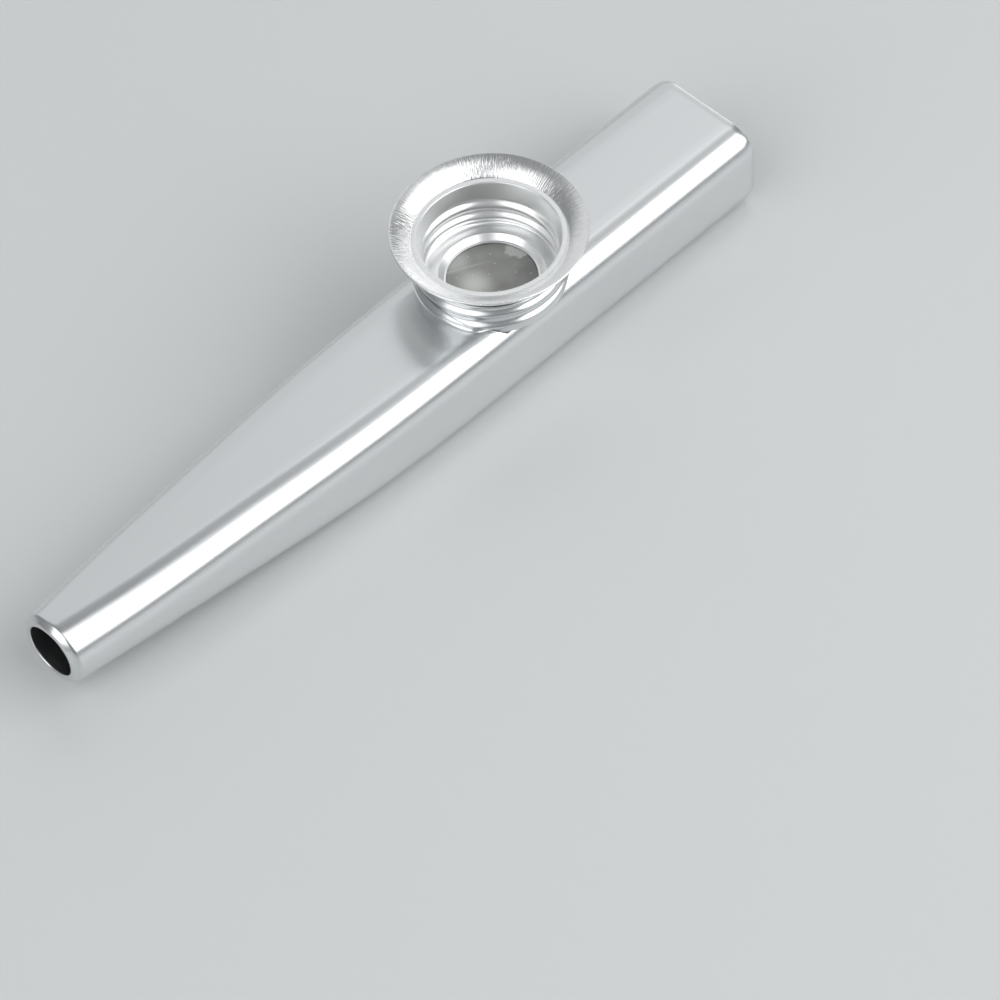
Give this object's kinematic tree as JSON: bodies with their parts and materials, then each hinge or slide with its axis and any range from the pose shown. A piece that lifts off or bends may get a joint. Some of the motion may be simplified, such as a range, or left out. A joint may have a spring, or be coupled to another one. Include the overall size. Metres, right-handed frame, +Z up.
{
  "type": "kazoo",
  "caption": "Metal kazoo: drawn aluminium tube, flattened at the mouth and round at the outlet, with a flared screw cap that clamps a buzzing membrane in a collar on top.",
  "frame": {"origin": "under the middle of the tube's length, on the flat face that it rests on", "axes": "+X along the tube from the round outlet to the wide mouth, +Z up through the screw cap"},
  "size_m": [0.1226, 0.0268, 0.0227],
  "materials": {
    "drawn_aluminium": "satin polished",
    "spun_aluminium": "bright spun",
    "ring_paper": "white coated card",
    "membrane_film": "thin translucent film"
  },
  "bodies": {
    "tube": {"body": "drawn_aluminium"},
    "membrane": {"membrane_ring": "ring_paper", "membrane_film": "membrane_film"},
    "cap": {"screw_cap": "spun_aluminium"}
  },
  "joints": [
    {"name": "cap_turn", "type": "hinge", "parent": "tube", "child": "membrane", "pos_m": [0.0196, 0, 0.0126], "axis": [0, 0, 1], "range_deg": [0, 720]},
    {"name": "cap_rise", "type": "slide", "parent": "membrane", "child": "cap", "axis": [0, 0, 1], "range_m": [0, 0.0045]}
  ],
  "couplings": [
    {"joint": "cap_rise", "follows": "cap_turn", "m_per_rad": 0.000358}
  ]
}
